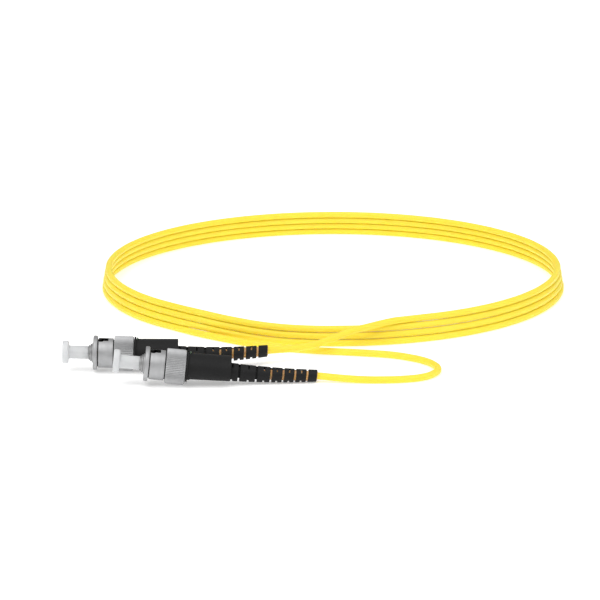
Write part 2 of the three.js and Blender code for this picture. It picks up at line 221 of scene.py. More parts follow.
def coil_point(angle):
    """A point of the wound cord, from its angle in degrees since the front of the first turn."""
    drops = 0.0
    for turn in range(COIL_TURNS - 1):
        drops += smooth_step((angle - 360 * turn - DROP_START) / (DROP_END - DROP_START))
    quick, slow = (math.radians(angle * rate) for rate in WOBBLE_RATES)
    wobble = TURN_WOBBLE * math.sin(quick) * math.sin(slow)
    radius = COIL_RADIUS + TURN_FLARE * drops + wobble
    height = CORD_DIAMETER / 2 + TURN_PITCH * (COIL_TURNS - 1 - drops)
    around = math.radians(angle)
    return Vector((radius * math.sin(around), -radius * math.cos(around), height))


def cord_route():
    """The whole cord from the end of boot a, round the coil, to the end of boot b."""
    last = 360 * (COIL_TURNS - 1) + DROP_START - COIL_STEP
    steps = round((last - JOIN_ANGLE) / COIL_STEP)
    angles = [JOIN_ANGLE + (last - JOIN_ANGLE) * i / steps for i in range(steps + 1)]
    coil = [coil_point(angle) for angle in angles]
    points = [*map(Vector, LEAD_A), *coil, *map(Vector, LEAD_B)]
    route = [point + COIL_MIDDLE for point in points]
    return [tail_middle("a", CORD_END_REAR), *route, tail_middle("b", CORD_END_REAR)]


def add_cord(material):
    route = cord_route()
    data = bpy.data.curves.new("patch_cord", "CURVE")
    data.dimensions = "3D"
    data.bevel_depth = CORD_DIAMETER / 2
    data.bevel_resolution = 7
    data.resolution_u = 8
    data.use_fill_caps = True
    spline = data.splines.new("BEZIER")
    spline.bezier_points.add(len(route) - 1)
    for knot, point in zip(spline.bezier_points, route):
        knot.co = point
        knot.handle_left_type = "AUTO"
        knot.handle_right_type = "AUTO"
    data.materials.append(material)
    cord = add_object("patch_cord", data)
    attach(cord, "root")
    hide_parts("cord_lead_a", "cord_coil", "cord_lead_b")


# ---- Material helpers -----------------------------------------------------------------------
# The UV map of a turned piece: millimetres along its outline, and the share of a whole turn.
TURNED_MAP = "turned"
# A noise texture seldom goes beyond these values.
NOISE_RANGE = (0.3, 0.7)


class Look:
    """A material round one Principled shader, with helpers that add what varies over it."""

    def __init__(self, name, colour, sockets=None):
        self.material = bpy.data.materials.new(name)
        self.material.use_nodes = True
        self.tree = self.material.node_tree
        self.shader = self.tree.nodes["Principled BSDF"]
        self.colour = colour
        self.shader.inputs["Base Color"].default_value = (*colour, 1)
        for socket, value in (sockets or {}).items():
            self.shader.inputs[socket].default_value = value

    def node(self, kind, **values):
        made = self.tree.nodes.new(kind)
        for name, value in values.items():
            setattr(made, name, value)
        return made

    def link(self, source, target):
        self.tree.links.new(source, target)

    def place(self, scale, turned_piece=False):
        """Coordinates times scale: the row frame's, or a turned piece's length and turn."""
        if turned_piece:
            source = self.node("ShaderNodeUVMap", uv_map=TURNED_MAP).outputs["UV"]
        else:
            source = self.node("ShaderNodeTexCoord").outputs["Object"]
        mapping = self.node("ShaderNodeMapping")
        mapping.inputs["Scale"].default_value = scale
        self.link(source, mapping.inputs["Vector"])
        return mapping.outputs["Vector"]

    def noise(self, scale, detail=3.0, turned_piece=False):
        """A noise from 0 to 1 with so many blotches to a metre, or to a turned piece's units."""
        scale = scale if isinstance(scale, tuple) else (scale, scale, scale)
        made = self.node("ShaderNodeTexNoise")
        made.inputs["Scale"].default_value = 1.0
        made.inputs["Detail"].default_value = detail
        self.link(self.place(scale, turned_piece), made.inputs["Vector"])
        return made.outputs["Fac"]

    def between(self, field, low, high):
        """A noise spread from low to high."""
        made = self.node("ShaderNodeMapRange")
        made.inputs["From Min"].default_value = NOISE_RANGE[0]
        made.inputs["From Max"].default_value = NOISE_RANGE[1]
        made.inputs["To Min"].default_value = low
        made.inputs["To Max"].default_value = high
        self.link(field, made.inputs["Value"])
        return made.outputs["Result"]

    def vary_colour(self, field, other):
        """Mixes towards another colour where the field is high."""
        mix = self.node("ShaderNodeMix", data_type="RGBA")
        self.link(self.between(field, 0.0, 1.0), mix.inputs["Factor"])
        current = self.shader.inputs["Base Color"]
        if current.is_linked:
            self.link(current.links[0].from_socket, mix.inputs[6])
        else:
            mix.inputs[6].default_value = (*self.colour, 1)
        mix.inputs[7].default_value = (*other, 1)
        self.link(mix.outputs[2], current)
        return self

    def vary_roughness(self, field, low, high):
        self.link(self.between(field, low, high), self.shader.inputs["Roughness"])
        return self

    def bump(self, field, height):
        """A relief of that height in metres, added to any that is there."""
        made = self.node("ShaderNodeBump")
        made.inputs["Distance"].default_value = height
        made.inputs["Strength"].default_value = 1.0
        self.link(field, made.inputs["Height"])
        normal = self.shader.inputs["Normal"]
        if normal.is_linked:
            self.link(normal.links[0].from_socket, made.inputs["Normal"])
        self.link(made.outputs["Normal"], normal)
        return self



# ---- Materials ------------------------------------------------------------------------------
def jacket(name, colour, deep, roughness):
    """A smooth extruded plastic jacket, with faint flow marks and handling haze."""
    look = Look(name, colour, {
        "Specular IOR Level": 0.35,
        "Subsurface Weight": 0.6,
        "Subsurface Scale": 0.0012,
        "Subsurface Radius": (1.0, 0.7, 0.2),
    })
    look.vary_colour(look.noise(180, 4.0), deep)
    look.vary_roughness(look.noise(900, 4.0), roughness - 0.06, roughness + 0.08)
    look.bump(look.noise(6000, 2.0), 0.000006)
    return look.material


def turned_metal(name, colour, dull, roughness, marks=0.0000015):
    """Turned and plated metal: fine marks run round it, and it is duller where it was handled."""
    look = Look(name, colour, {"Metallic": 1.0})
    rings = look.noise((9.0, 2.0, 1.0), 5.0, turned_piece=True)
    look.vary_colour(look.noise(700, 3.0), dull)
    look.vary_roughness(rings, roughness - 0.05, roughness + 0.06)
    look.bump(rings, marks)
    return look.material


def drawn_steel(name, colour, dull, roughness):
    look = Look(name, colour, {"Metallic": 1.0})
    look.vary_colour(look.noise(1500, 3.0), dull)
    look.vary_roughness(look.noise(5200, 4.0), roughness - 0.08, roughness + 0.1)
    look.bump(look.noise(9000, 3.0), 0.000002)
    return look.material


def cap_plastic():
    """Milky moulded plastic that lets some light through, with a fine moulding haze."""
    look = Look("cap_plastic", (0.79, 0.80, 0.805), {
        "Transmission Weight": 0.22,
        "Subsurface Weight": 0.45,
        "Subsurface Scale": 0.0012,
        "Subsurface Radius": (1.0, 1.0, 1.0),
        "IOR": 1.47,
    })
    look.vary_colour(look.noise(500, 3.0), (0.74, 0.75, 0.76))
    look.vary_roughness(look.noise(1200, 4.0), 0.28, 0.42)
    look.bump(look.noise(2600, 3.0), 0.000008)
    return look.material


def ceramic():
    look = Look("ceramic", (0.86, 0.85, 0.81), {"Specular IOR Level": 0.7, "Coat Weight": 0.3})
    look.vary_colour(look.noise(2500, 4.0), (0.80, 0.79, 0.75))
    look.vary_roughness(look.noise(4000, 4.0), 0.10, 0.18)
    look.bump(look.noise((12.0, 3.0, 1.0), 3.0, turned_piece=True), 0.000001)
    return look.material


def boot_rubber():
    """Black moulded rubber with a fine spark-eroded grain and a little dust in it."""
    look = Look("boot_rubber", (0.006, 0.006, 0.0062), {"Specular IOR Level": 0.2})
    look.vary_colour(look.noise(420, 5.0), (0.009, 0.009, 0.0092))
    look.vary_colour(look.noise(9000, 2.0), (0.012, 0.012, 0.0122))
    look.vary_roughness(look.noise(1500, 4.0), 0.50, 0.66)
    look.bump(look.noise(7500, 3.0), 0.000012)
    look.bump(look.noise(1300, 2.0), 0.00001)
    return look.material


def buffer_plastic():
    look = Look("buffer_plastic", (0.88, 0.86, 0.80))
    look.vary_colour(look.noise(900, 3.0), (0.80, 0.78, 0.71))
    look.vary_roughness(look.noise(3000, 3.0), 0.4, 0.55)
    look.bump(look.noise(5000, 2.0), 0.000004)
    return look.material


def aramid():
    """Straw-coloured filaments with a soft sheen along them."""
    look = Look("aramid", (0.72, 0.55, 0.16), {"Sheen Weight": 0.4, "Sheen Roughness": 0.4})
    look.vary_colour(look.noise(2600, 4.0), (0.86, 0.70, 0.27))
    look.vary_roughness(look.noise(6000, 3.0), 0.55, 0.75)
    look.bump(look.noise(12000, 2.0), 0.000008)
    return look.material


def floor_paper():
    look = Look("floor_paper", (0.9, 0.9, 0.9), {
        "Specular IOR Level": 0.1,
        "Emission Color": (1, 1, 1, 1),
        "Emission Strength": 0.36,
    })
    look.vary_colour(look.noise(14, 3.0), (0.895, 0.895, 0.895))
    look.vary_roughness(look.noise(60, 3.0), 0.85, 0.95)
    look.bump(look.noise(1500, 3.0), 0.000004)
    return look.material


# ---- Mesh helpers, in millimetres along a connector's axis ----------------------------------
ROUND = 96
SHARP_ANGLE = math.radians(32)


def eased(corners, steps=4):
    """Points of (station, radius), from corners that may also say how far each is rounded."""
    points = []
    for i, corner in enumerate(corners):
        here = Vector(corner[:2])
        if len(corner) == 2:
            points.append(here)
            continue
        before = Vector(corners[i - 1][:2]) - here
        after = Vector(corners[(i + 1) % len(corners)][:2]) - here
        reach = min(corner[2], before.length / 2, after.length / 2)
        start = here + before.normalized() * reach
        end = here + after.normalized() * reach
        for k in range(steps + 1):
            t = k / steps
            points.append(start.lerp(here, t).lerp(here.lerp(end, t), t))
    return points


def turned(corners, segments=ROUND):
    """A body turned about the axis, from an outline that is closed or ends on the axis."""
    outline = eased(corners)
    body = bmesh.new()
    rings = []
    for station, radius in outline:
        if radius < 1e-6:
            rings.append([body.verts.new((station, 0, 0))])
            continue
        turns = [2 * math.pi * k / segments for k in range(segments)]
        places = [(station, radius * math.sin(a), radius * math.cos(a)) for a in turns]
        rings.append([body.verts.new(place) for place in places])
    uv = body.loops.layers.uv.new(TURNED_MAP)
    along = 0.0
    for i, ring in enumerate(rings):
        after = rings[(i + 1) % len(rings)]
        length = (outline[(i + 1) % len(rings)] - outline[i]).length
        if len(ring) > 1 or len(after) > 1:
            for k in range(segments):
                add_strip_face(body, uv, ring, after, k, segments, (along, along + length))
        along += length
    bmesh.ops.recalc_face_normals(body, faces=body.faces)
    return body


def add_strip_face(body, uv, ring, after, k, segments, spans):
    """One face between two rings, or between a ring and the pole that it ends in."""
    n = (k + 1) % segments
    corners = []
    if len(ring) > 1:
        corners += [(ring[k], spans[0], k), (ring[n], spans[0], k + 1)]
    else:
        corners += [(ring[0], spans[0], k)]
    if len(after) > 1:
        corners += [(after[n], spans[1], k + 1), (after[k], spans[1], k)]
    else:
        corners += [(after[0], spans[1], k)]
    face = body.faces.new([corner[0] for corner in corners])
    for loop, corner in zip(face.loops, corners):
        loop[uv].uv = (corner[1], corner[2] / segments)


def sleeve(rear, front, inner, outer, rounding=0.05, segments=ROUND):
    return turned(
        [
            (rear, inner, rounding),
            (front, inner, rounding),
            (front, outer, rounding),
            (rear, outer, rounding),
        ],
        segments,
    )


def block(middle, size, rounding=0.05, angle=0.0):
    """A box with rounded edges, turned about the axis by an angle."""
    body = bmesh.new()
    bmesh.ops.create_cube(body, size=1.0)
    body.loops.layers.uv.new(TURNED_MAP)
    bmesh.ops.scale(body, vec=size, verts=body.verts)
    if rounding:
        bmesh.ops.bevel(
            body, geom=body.edges[:], offset=rounding, segments=3, profile=0.5, affect="EDGES"
        )
    bmesh.ops.translate(body, vec=middle, verts=body.verts)
    bmesh.ops.rotate(body, cent=(0, 0, 0), matrix=Matrix.Rotation(angle, 3, "X"), verts=body.verts)
    return body


def band(stops, inner, outer):
    """A closed strip bent round the axis, from stops of (angle, rear station, front station)."""
    body = bmesh.new()
    body.loops.layers.uv.new(TURNED_MAP)
    sections = []
    for angle, rear, front in stops:
        y, z = math.sin(math.radians(angle)), math.cos(math.radians(angle))
        corners = [(rear, inner), (front, inner), (front, outer), (rear, outer)]
        places = [(station, radius * y, radius * z) for station, radius in corners]
        sections.append([body.verts.new(place) for place in places])
    for here, after in zip(sections, sections[1:]):
        for k in range(4):
            n = (k + 1) % 4
            body.faces.new((here[k], here[n], after[n], after[k]))
    body.faces.new(sections[0])
    body.faces.new(sections[-1])
    bmesh.ops.recalc_face_normals(body, faces=body.faces)
    return body


def tube(path, radius, sides):
    """A round wire along a path of points, with flat ends."""
    body = bmesh.new()
    body.loops.layers.uv.new(TURNED_MAP)
    rings = []
    side = (path[1] - path[0]).orthogonal().normalized()
    for i, point in enumerate(path):
        along = (path[min(i + 1, len(path) - 1)] - path[max(i - 1, 0)]).normalized()
        side = (side - along * side.dot(along)).normalized()
        across = along.cross(side)
        turns = [2 * math.pi * k / sides for k in range(sides)]
        spokes = [side * math.cos(a) + across * math.sin(a) for a in turns]
        rings.append([body.verts.new(point + spoke * radius) for spoke in spokes])
    for here, after in zip(rings, rings[1:]):
        for k in range(sides):
            n = (k + 1) % sides
            body.faces.new((here[k], here[n], after[n], after[k]))
    body.faces.new(rings[0])
    body.faces.new(rings[-1])
    bmesh.ops.recalc_face_normals(body, faces=body.faces)
    return body


def to_mesh(body, name="part"):
    mesh = bpy.data.meshes.new(name)
    body.to_mesh(mesh)
    body.free()
    return mesh


def combined(body, others, operation):
    """The body with the others cut from it, DIFFERENCE, or joined to it, UNION, one by one."""
    target = add_object("target", to_mesh(body))
    tools = []
    for other in others:
        tools.append(add_object("tool", to_mesh(other)))
        modifier = target.modifiers.new("combine", "BOOLEAN")
        modifier.operation = operation
        modifier.solver = "EXACT"
        modifier.object = tools[-1]
    graph = bpy.context.evaluated_depsgraph_get()
    result = bmesh.new()
    result.from_object(target, graph)
    for used in [target, *tools]:
        mesh = used.data
        bpy.data.objects.remove(used)
        bpy.data.meshes.remove(mesh)
    return result


def shade(mesh):
    """Smooth shading, with an edge kept sharp where its faces meet at more than SHARP_ANGLE."""
    body = bmesh.new()
    body.from_mesh(mesh)
    bmesh.ops.dissolve_degenerate(body, dist=1e-5, edges=body.edges)
    for face in body.faces:
        face.smooth = True
    for edge in body.edges:
        edge.smooth = len(edge.link_faces) == 2 and edge.calc_face_angle(0.0) < SHARP_ANGLE
    body.to_mesh(mesh)
    body.free()


def bend_tail(body, bend):
    for vertex in body.verts:
        vertex.co = bent(vertex.co, bend)
    return body


def is_inside_nut(kind, middle):
    """Whether a face of a body or a nut is out of the light, in the bore, a groove or a slot, and
    so gets painted shade.
    """
    radius = math.hypot(middle.y, middle.z)
    if kind == "connector_body":
        return NUT_LIP[0] < middle.x < SHOULDER_FRONT + 0.1
    in_bore = radius < NUT_BORE + 0.04 and middle.x < NUT_FRONT - 0.3
    return in_bore or (radius < BARREL_RADIUS - 0.1 and RING_END < middle.x < FLANGE_START)


def add_piece(kind, side, body, slot, carrier="root"):
    """Puts a body in its connector's place, instead of the CAD node that it refines.

    It rides on the carrier. With none, the caller says what it follows.
    """
    mesh = to_mesh(body, f"{kind}_{side}_fine")
    shade(mesh)
    mesh.materials.clear()
    mesh.materials.append(materials[slot])
    # Faces that lie out of the light get a near-black metal as painted shade.
    if kind in ("coupling_nut", "connector_body"):
        mesh.materials.append(materials["painted_shade_metal"])
        for face in mesh.polygons:
            face.material_index = int(is_inside_nut(kind, face.center))
    mesh.transform(connector_place(side))
    piece = add_object(mesh.name, mesh)
    if carrier is not None:
        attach(piece, carrier)
    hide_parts(f"{kind}_{side}")
    return piece


# ---- The connector's pieces -----------------------------------------------------------------
def dust_cap():
    bore = 1.31
    tube_start = BODY_FRONT + 0.07
    bore_end = FERRULE_TIP + 0.25
    hollow = 0.12
    return turned([
        (bore_end, 0), (bore_end, bore, 0.2), (tube_start, bore, 0.08),
        (tube_start, CAP_RADIUS, 0.12), (CAP_DISC_START, CAP_RADIUS, 0.3),
        (CAP_DISC_START, CAP_DISC_RADIUS, 0.75), (CAP_FRONT, CAP_DISC_RADIUS, 0.95),
        (CAP_FRONT, 2.2, 0.3), (CAP_FRONT - hollow, 1.9, 0.2), (CAP_FRONT - hollow, 0),
    ])


def ferrule():
    """The tip is chamfered and polished to a shallow dome."""
    rear = 6
    dome = [(FERRULE_TIP - 0.02 * t * t, 0.85 * t) for t in (0, 0.35, 0.7, 1.0)]
    return turned([
        *dome, (FERRULE_TIP - 0.45, FERRULE_RADIUS, 0.12), (rear + 0.2, FERRULE_RADIUS, 0.05),
        (rear, FERRULE_RADIUS - 0.2, 0.05), (rear, 0),
    ])


def ferrule_holder():
    rear = 3.1
    front = BODY_FRONT - 0.25
    seat = 5.9
    fibre_bore = BUFFER_RADIUS + 0.05
    socket = FERRULE_RADIUS + 0.04
    groove = (7.6, 8.0)
    groove_radius = HOLDER_RADIUS - 0.08
    return turned([
        (rear, fibre_bore, 0.05), (seat, fibre_bore), (seat, socket), (front, socket, 0.04),
        (front, HOLDER_RADIUS, 0.12), (groove[1], HOLDER_RADIUS, 0.05),
        (groove[1], groove_radius, 0.05), (groove[0], groove_radius, 0.05),
        (groove[0], HOLDER_RADIUS, 0.05), (rear, HOLDER_RADIUS, 0.15),
    ])


def connector_body():
    """Domed nose, spring shoulder and key, stem with the clip's groove, barrel for crimping."""
    bore = HOLDER_RADIUS + 0.07
    bore_end = 3
    fibre_bore = 0.7
    groove = (0.03, 0.57)
    groove_radius = STEM_RADIUS - 0.15
    crimp_start = -3.9
    crimp_end = -8.6
    shoulder = 3.3
    knurl_pitch = 0.48
    knurl_width = 0.24
    knurl_depth = 0.08
    knurls = []
    for i in range(9):
        station = crimp_start - 0.35 - knurl_pitch * i
        knurls += [
            (station, CRIMP_RADIUS), (station - knurl_width / 2, CRIMP_RADIUS - knurl_depth),
            (station - knurl_width, CRIMP_RADIUS),
        ]
    # The nose widens in three bevelled rings, with a fine groove behind each of the first two.
    shell = turned([
        (crimp_end, fibre_bore, 0.08), (bore_end, fibre_bore), (bore_end, bore),
        (BODY_FRONT, bore, 0.08),
        (BODY_FRONT, 2.0, 0.12), (BODY_FRONT - 0.32, 2.16, 0.05), (BODY_FRONT - 0.34, 1.95),
        (BODY_FRONT - 0.48, 1.95), (BODY_FRONT - 0.5, 2.4, 0.1), (BODY_FRONT - 0.8, 2.54, 0.05),
        (BODY_FRONT - 0.82, 2.28), (BODY_FRONT - 0.96, 2.28), (BODY_FRONT - 0.98, 2.7, 0.1),
        (BODY_FRONT - 1.3, NOSE_RADIUS, 0.1), (SHOULDER_FRONT, NOSE_RADIUS),
        (SHOULDER_FRONT, shoulder, 0.1), (SPRING_SEAT, shoulder, 0.1),
        (SPRING_SEAT, STEM_RADIUS), (groove[1], STEM_RADIUS, 0.05), (groove[1], groove_radius),
        (groove[0], groove_radius), (groove[0], STEM_RADIUS, 0.05), (crimp_start, STEM_RADIUS, 0.1),
        (crimp_start, CRIMP_RADIUS), *knurls, (crimp_end, CRIMP_RADIUS, 0.12),
    ])
    key = block((SPRING_SEAT + 1.3, 0, 2.95), (1.6, 1.2, 0.7), 0.1)
    return combined(shell, [key], "UNION")


RING_TEETH = 60
TOOTH_DEPTH = 0.25
SLOT_STEP = 4


def slot_stops(corners):
    """Stops every few degrees along a slot, from its corners of (angle, rear, front)."""
    stops = []
    for here, after in zip(corners, corners[1:]):
        steps = max(1, round(abs(after[0] - here[0]) / SLOT_STEP))
        for k in range(steps):
            stops.append(tuple(a + (b - a) * k / steps for a, b in zip(here, after)))
    return [*stops, corners[-1]]


def bayonet_cutters(turn):
    """A way in at the mouth, a groove inside the wall, and the stepped window that it ends in."""
    window_front = FLANGE_START - 0.12
    groove_depth = 0.42
    window = slot_stops([
        (turn + 26, 8.95, window_front), (turn + 24.5, 8.72, window_front),
        (turn + 21.5, 8.7, window_front), (turn + 21, 7.25, window_front),
        (turn + 19.5, 7.17, window_front), (turn - 9, 7.17, window_front),
        (turn - 11, 7.25, window_front),
    ])
    groove = slot_stops([(turn - 4, 7.3, 8.9), (turn - 62, 9.0, 10.6), (turn - 72, 9.1, 10.6)])
    entry = slot_stops([(turn - 50, 9.2, NUT_FRONT + 0.3), (turn - 74, 9.2, NUT_FRONT + 0.3)])
    return [
        band(window, NUT_BORE - 0.3, FLANGE_RADIUS + 0.4),
        band(groove, NUT_BORE - 0.3, NUT_BORE + groove_depth),
        band(entry, NUT_BORE - 0.3, NUT_BORE + groove_depth + 0.01),
    ]


def coupling_nut():
    """Knurled ring, slotted barrel and round flange, with an inner lip that the spring bears on."""
    recess = 3.6
    lip_rear, lip_front = NUT_LIP
    barrel_front = FLANGE_START - 0.27
    barrel_rear = RING_END + 0.3
    shell = turned([
        (0, recess, 0.1), (lip_rear, recess), (lip_rear, LIP_BORE, 0.05),
        (lip_front, LIP_BORE, 0.05), (lip_front, NUT_BORE), (NUT_FRONT, NUT_BORE, 0.25),
        (NUT_FRONT, FLANGE_RADIUS, 0.32), (FLANGE_START, FLANGE_RADIUS, 0.35),
        (FLANGE_START, GROOVE_RADIUS), (barrel_front, GROOVE_RADIUS),
        (barrel_front, BARREL_RADIUS, 0.06), (barrel_rear, BARREL_RADIUS, 0.06),
        (barrel_rear, GROOVE_RADIUS),
        (RING_END, GROOVE_RADIUS), (RING_END, RING_RADIUS - 0.18), (RING_END - 0.18, RING_RADIUS),
        (0.45, RING_RADIUS), (0.12, RING_RADIUS - 0.2, 0.1), (0, RING_RADIUS - 0.55, 0.1),
    ], 2 * RING_TEETH)
    for vertex in shell.verts:
        radius = math.hypot(vertex.co.y, vertex.co.z)
        tooth = math.atan2(vertex.co.y, vertex.co.z) * RING_TEETH / math.pi
        if radius > RING_RADIUS - 0.03 and vertex.co.x < RING_END and round(tooth) % 2:
            vertex.co.yz *= (radius - TOOTH_DEPTH) / radius
    return combined(shell, bayonet_cutters(0) + bayonet_cutters(180), "DIFFERENCE")


def nut_spring():
    """A coil of even turns, its wire cut square at both ends."""
    turns = 5
    wire = 0.22
    radius = 2.55
    rear = 2.6
    front = 8.9
    steps_in_a_turn = 28
    steps = turns * steps_in_a_turn
    path = []
    for i in range(steps + 1):
        share = i / steps
        angle = share * turns * 2 * math.pi
        station = rear + (front - rear) * share
        path.append(Vector((station, radius * math.sin(angle), radius * math.cos(angle))))
    return tube(path, wire, 12)


def spring_washer():
    rear = 1.85
    front = 2.25
    inner = 2.2
    outer = 3.4
    return sleeve(rear, front, inner, outer, 0.08)


def retaining_clip():
    """A split ring with a small upright ear behind it."""
    rear = 0.1
    front = 0.5
    outer = 3.3
    half_span = 158
    stops = [(angle, rear, front) for angle in range(-half_span, half_span + 1, 4)]
    ring = band(stops, STEM_RADIUS - 0.1, outer)
    arm = block((-0.35, 0, 3.08), (1.1, 0.9, 0.35), 0.08)
    ear = block((-0.95, 0, 3.84), (0.42, 0.7, 1.62), 0.12)
    return combined(ring, [arm, ear], "UNION")


def aramid_yarn():
    """Filaments laid back along the crimp barrel, each with a slight twist of its own."""
    strands = 40
    filament = 0.075
    front = -4.2
    last_rear = -8.5
    sections = 8
    middle = CRIMP_RADIUS + 0.125
    body = bmesh.new()
    for k in range(strands):
        twist = random.uniform(-0.12, 0.12)
        rear = last_rear + random.uniform(0.0, 0.35)
        path = []
        for i in range(sections + 1):
            share = i / sections
            angle = 2 * math.pi * k / strands + twist * share
            station = rear + (front - rear) * share
            path.append(Vector((station, middle * math.sin(angle), middle * math.cos(angle))))
        strand = to_mesh(tube(path, filament, 6))
        body.from_mesh(strand)
        bpy.data.meshes.remove(strand)
    return body


def crimp_sleeve():
    """A stepped tube whose wide part is crimped to six flats."""
    inner = CRIMP_RADIUS + 0.25
    outer = CRIMP_SLEEVE_RADIUS
    neck_bore = CORD_RADIUS + 0.05
    neck_radius = 1.5
    rear = -12.1
    front = -4.0
    bore_cone = (-9.2, -8.9)
    skin_cone = (-9.6, -9.0)
    flats = (-8.3, -4.6)
    round_ends = (-8.45, -4.45)
    flat_radius = 1.92
    body = turned([
        (rear, neck_bore, 0.05), (bore_cone[0], neck_bore), (bore_cone[1], inner),
        (front, inner, 0.05), (front, outer, 0.1), (round_ends[1], outer), (flats[1], outer),
        (flats[0], outer), (round_ends[0], outer), (skin_cone[1], outer, 0.15),
        (skin_cone[0], neck_radius, 0.15), (rear, neck_radius, 0.1),
    ])
    for vertex in body.verts:
        radius = math.hypot(vertex.co.y, vertex.co.z)
        if radius > outer - 0.01 and flats[0] - 0.01 < vertex.co.x < flats[1] + 0.01:
            angle = math.atan2(vertex.co.y, vertex.co.z) % (math.pi / 3) - math.pi / 6
            vertex.co.yz *= min(radius, flat_radius / math.cos(angle)) / radius
    return body


def buffered_fiber():
    rear = -10.5
    front = 5.8
    rounding = 0.05
    return turned([
        (front, 0), (front, BUFFER_RADIUS, rounding), (rear, BUFFER_RADIUS, rounding), (rear, 0),
    ], 48)


# The tail is sawn from both sides in turn, at these distances behind the step. Each cut goes
# so far past the axis and leaves a rib beyond it. The cuts from the left are tilted, and a
# narrow window goes through the rib that each of them leaves.
RIGHT_CUTS = (2.5, 7.5, 11.7, 15.2, 18.6, 22.1)
LEFT_CUTS = (0.5, 5.2, 9.7, 13.4, 16.9, 20.4)
CUT_WIDTH = 0.55
CUT_ROUNDING = 0.13
RIGHT_REACH = 1.46
LEFT_REACH = 0.6
LEFT_TILT = math.radians(37)
WINDOW_ANGLE = math.radians(-27)
WINDOW = (0.4, 1.6)
TAIL_SECTIONS = 25

# In the tail's front part the cuts stop at a liner that holds the cord.
LINER_REAR = BOOT_STEP - 9.1
LINER_RADIUS = 1.5


def tail_radius(station):
    share = (BOOT_STEP - station) / (BOOT_STEP - BOOT_END)
    return TAIL_START_RADIUS + (TAIL_END_RADIUS - TAIL_START_RADIUS) * share


def tail_stations(rear, front):
    return [rear + (front - rear) * i / TAIL_SECTIONS for i in range(TAIL_SECTIONS + 1)]


def saw_cut(distance, side, reach, tilt):
    """A disc that flares at the tail's skin, so that the cut's edges come out rounded."""
    middle = BOOT_STEP - distance
    skin = tail_radius(middle)
    half = CUT_WIDTH / 2
    flare = []
    for k in range(5):
        angle = math.pi / 2 * k / 4
        out = half + CUT_ROUNDING * (1 - math.cos(angle))
        flare.append((out, skin - CUT_ROUNDING * (1 - math.sin(angle))))
    profile = [*flare, (half + CUT_ROUNDING, skin + 1.5)]
    front = [(middle + out, radius) for out, radius in profile]
    rear = [(middle - out, radius) for out, radius in reversed(profile)]
    disc = turned([(middle + half, 0), *front, *rear, (middle - half, 0)], 64)
    everything = disc.verts[:] + disc.edges[:] + disc.faces[:]
    bmesh.ops.bisect_plane(
        disc,
        geom=everything,
        plane_co=(0, -side * reach, 0),
        plane_no=(0, -side, 0),
        clear_outer=True,
    )
    bmesh.ops.holes_fill(disc, edges=[edge for edge in disc.edges if edge.is_boundary], sides=0)
    bmesh.ops.recalc_face_normals(disc, faces=disc.faces)
    bmesh.ops.rotate(disc, cent=(0, 0, 0), matrix=Matrix.Rotation(tilt, 3, "X"), verts=disc.verts)
    return disc


def rib_window(distance):
    middle = 2.2
    depth = 2.4
    return block((BOOT_STEP - distance, 0, middle), (*WINDOW, depth), 0.0, WINDOW_ANGLE)


def cord_liner():
    stations = tail_stations(LINER_REAR, BOOT_STEP - 0.05)
    bore = CORD_RADIUS + 0.05
    inside = [(station, bore) for station in stations]
    skin = [(station, LINER_RADIUS) for station in reversed(stations)]
    return turned([*inside, *skin], 64)


def lift_underside(body, sleeve_front):
    """The lower half of the sleeve's skin is drawn up, so that it ends level with the tail."""
    for vertex in body.verts:
        x, y, z = vertex.co
        share = (x - sleeve_front) / (BOOT_STEP - sleeve_front)
        top = BOOT_TOP[0] + (BOOT_TOP[1] - BOOT_TOP[0]) * share
        on_sleeve = -0.001 < share < 1.001
        on_skin = BOOT_TOP[0] - 0.35 < math.hypot(y, z) < BOOT_RIM_RADIUS - 0.2
        if on_sleeve and on_skin and z < 0:
            depth = BOOT_UNDERSIDE[0] + (BOOT_UNDERSIDE[1] - BOOT_UNDERSIDE[0]) * share
            vertex.co.z = z * depth / top
        if x > sleeve_front and math.hypot(y, z) > BOOT_TOP[0] + 0.1 and z < 0:
            vertex.co.z = z * BOOT_RIM_DROP
    return body


def boot(bend):
    """A rim, a round sleeve that thins underneath, and a long sawn tail with a liner in it."""
    bore = 2.2
    bore_rear = -9.75
    neck_bore = 1.7
    mouth = 3.35
    mouth_rear = -1.3
    sleeve_front = BOOT_FRONT - 0.45
    stations = tail_stations(BOOT_END, BOOT_STEP)
    tail_bore = [(station, TAIL_BORE) for station in stations[1:]]
    tail_skin = [(station, tail_radius(station)) for station in reversed(stations[1:])]
    sleeve_skin = []
    for i in range(9):
        share = i / 8
        station = sleeve_front - 0.001 + (BOOT_STEP + 0.25 - sleeve_front) * share
        sleeve_skin.append((station, BOOT_TOP[0] + (BOOT_TOP[1] - BOOT_TOP[0]) * share))
    shell = turned([
        (BOOT_END, TAIL_BORE, 0.08), *tail_bore, (BOOT_STEP, neck_bore), (bore_rear, neck_bore),
        (bore_rear, bore), (mouth_rear, bore), (mouth_rear, mouth), (BOOT_FRONT, mouth, 0.08),
        (BOOT_FRONT, BOOT_RIM_RADIUS, 0.15), (sleeve_front, BOOT_RIM_RADIUS, 0.12), *sleeve_skin,
        (BOOT_STEP, BOOT_TOP[1], 0.2), *tail_skin, (BOOT_END, TAIL_END_RADIUS, 0.15),
    ], 72)
    lift_underside(shell, sleeve_front)
    cutters = [saw_cut(distance, 1, RIGHT_REACH, 0.0) for distance in RIGHT_CUTS]
    cutters += [saw_cut(distance, -1, LEFT_REACH, LEFT_TILT) for distance in LEFT_CUTS]
    cutters += [rib_window(distance) for distance in LEFT_CUTS]
    ear_notch = block((-0.7, 0, 3.9), (1.4, 1.4, 2.6), 0.0)
    cutters.append(ear_notch)
    body = combined(combined(shell, cutters, "DIFFERENCE"), [cord_liner()], "UNION")
    bmesh.ops.triangulate(body, faces=[face for face in body.faces if len(face.verts) > 4])
    return bend_tail(body, bend)


